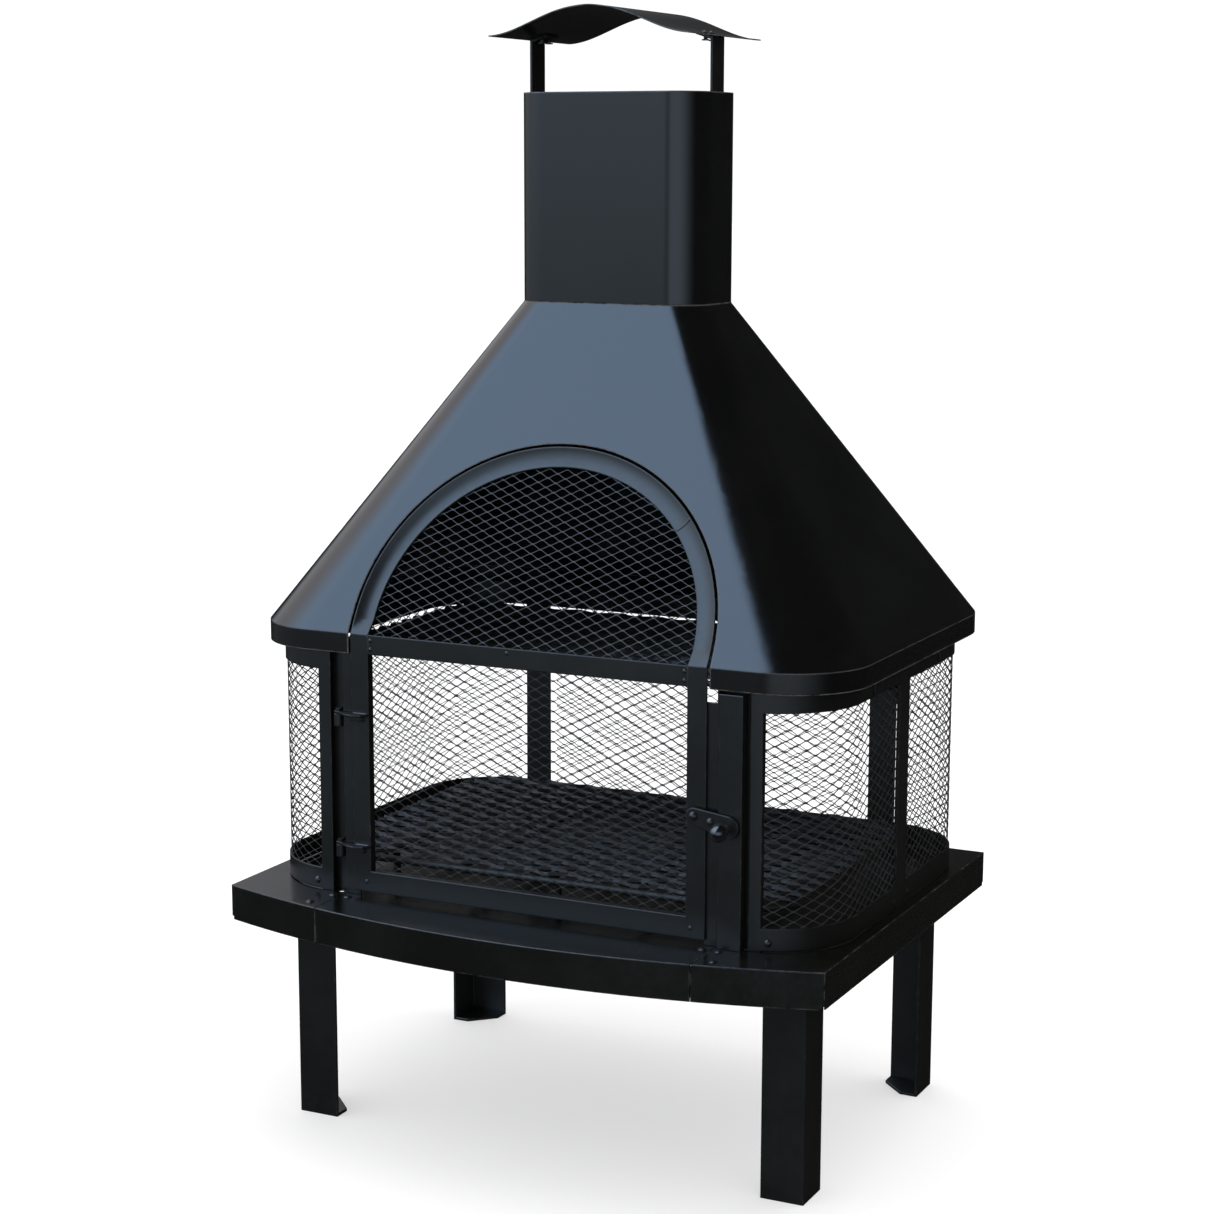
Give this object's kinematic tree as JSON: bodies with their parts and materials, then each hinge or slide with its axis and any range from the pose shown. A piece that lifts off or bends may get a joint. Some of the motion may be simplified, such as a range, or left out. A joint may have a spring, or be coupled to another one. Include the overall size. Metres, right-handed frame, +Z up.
{
  "type": "wood-burning chiminea",
  "caption": "Raised sheet-steel garden chiminea: bowed hearth on angle legs, mesh firebox with an arched hinged door and latch, pyramid hood, short square chimney and wavy rain cap.",
  "frame": {"origin": "on the ground under the centre of the overall outline", "axes": "+Z up, the door faces -Y, +X is to the right when facing the door"},
  "size_m": [0.656, 0.538, 1.143],
  "materials": {
    "heat_paint": "satin black high-temperature paint over sheet steel",
    "hearth_paint": "semi-gloss black high-temperature paint",
    "expanded_mesh": "black painted expanded steel",
    "bolt_steel": "black finished steel fasteners",
    "plain_steel": "plain zinc-coated steel nuts and shanks",
    "grate_steel": "matt heat-darkened steel",
    "knob": "gloss black"
  },
  "bodies": {
    "frame": {"cap_rivets": "bolt_steel", "cap_strap_left": "heat_paint", "cap_strap_right": "heat_paint", "chimney": "heat_paint", "grate_tabs": "heat_paint", "hearth_centre": "hearth_paint", "hearth_left": "hearth_paint", "hearth_right": "hearth_paint", "hinge_barrels": "heat_paint", "hinge_post": "heat_paint", "hood": "heat_paint", "hood_brackets": "heat_paint", "latch_post": "heat_paint", "latch_strip": "heat_paint", "latch_stud": "bolt_steel", "leg_bolts": "bolt_steel", "leg_foot_plates": "heat_paint", "leg_front_left": "heat_paint", "leg_front_right": "heat_paint", "leg_rear_left": "heat_paint", "leg_rear_right": "heat_paint", "leg_top_plates": "heat_paint", "rain_cap": "heat_paint", "rear_post_left": "heat_paint", "rear_post_right": "heat_paint", "screen_front_left_frame": "heat_paint", "screen_front_left_mesh": "expanded_mesh", "screen_front_right_frame": "heat_paint", "screen_front_right_mesh": "expanded_mesh", "screen_rear_frame": "heat_paint", "screen_rear_left_frame": "heat_paint", "screen_rear_left_mesh": "expanded_mesh", "screen_rear_mesh": "expanded_mesh", "screen_rear_right_frame": "heat_paint", "screen_rear_right_mesh": "expanded_mesh", "screen_screws": "bolt_steel", "seam_bolts": "bolt_steel", "seam_rail_left": "heat_paint", "seam_rail_right": "heat_paint", "side_post_left": "heat_paint", "side_post_right": "heat_paint"},
    "door": {"door_frame": "heat_paint", "door_crossbar": "heat_paint", "door_mesh_lower": "expanded_mesh", "door_mesh_upper": "expanded_mesh", "door_rivets": "bolt_steel", "hinge_plates": "heat_paint", "hinge_pins": "bolt_steel", "latch_pivot_bolt": "bolt_steel", "latch_spacer": "plain_steel", "latch_nut": "plain_steel"},
    "latch": {"latch_lever": "heat_paint", "latch_rivet": "bolt_steel", "latch_knob": "knob", "latch_knob_stem": "plain_steel"},
    "cooking_grate": {"cooking_grate_frame": "grate_steel", "cooking_grate_mesh": "grate_steel"},
    "log_grate": {"log_grate_frame": "grate_steel", "log_grate_mesh": "grate_steel"}
  },
  "joints": [
    {"name": "door_hinge", "type": "hinge", "parent": "frame", "child": "door", "pos_m": [-0.214, -0.185, 0.38], "axis": [0, 0, -1], "range_deg": [0, 105]},
    {"name": "latch_pivot", "type": "hinge", "parent": "door", "child": "latch", "pos_m": [0.185, -0.1963, 0.386], "axis": [0, -1, 0], "range_deg": [0, 75]},
    {"name": "cooking_grate_lift", "type": "slide", "parent": "frame", "child": "cooking_grate", "axis": [0, 0, 1], "range_m": [0, 0.04]},
    {"name": "log_grate_lift", "type": "slide", "parent": "frame", "child": "log_grate", "axis": [0, 0, 1], "range_m": [0, 0.08]}
  ]
}
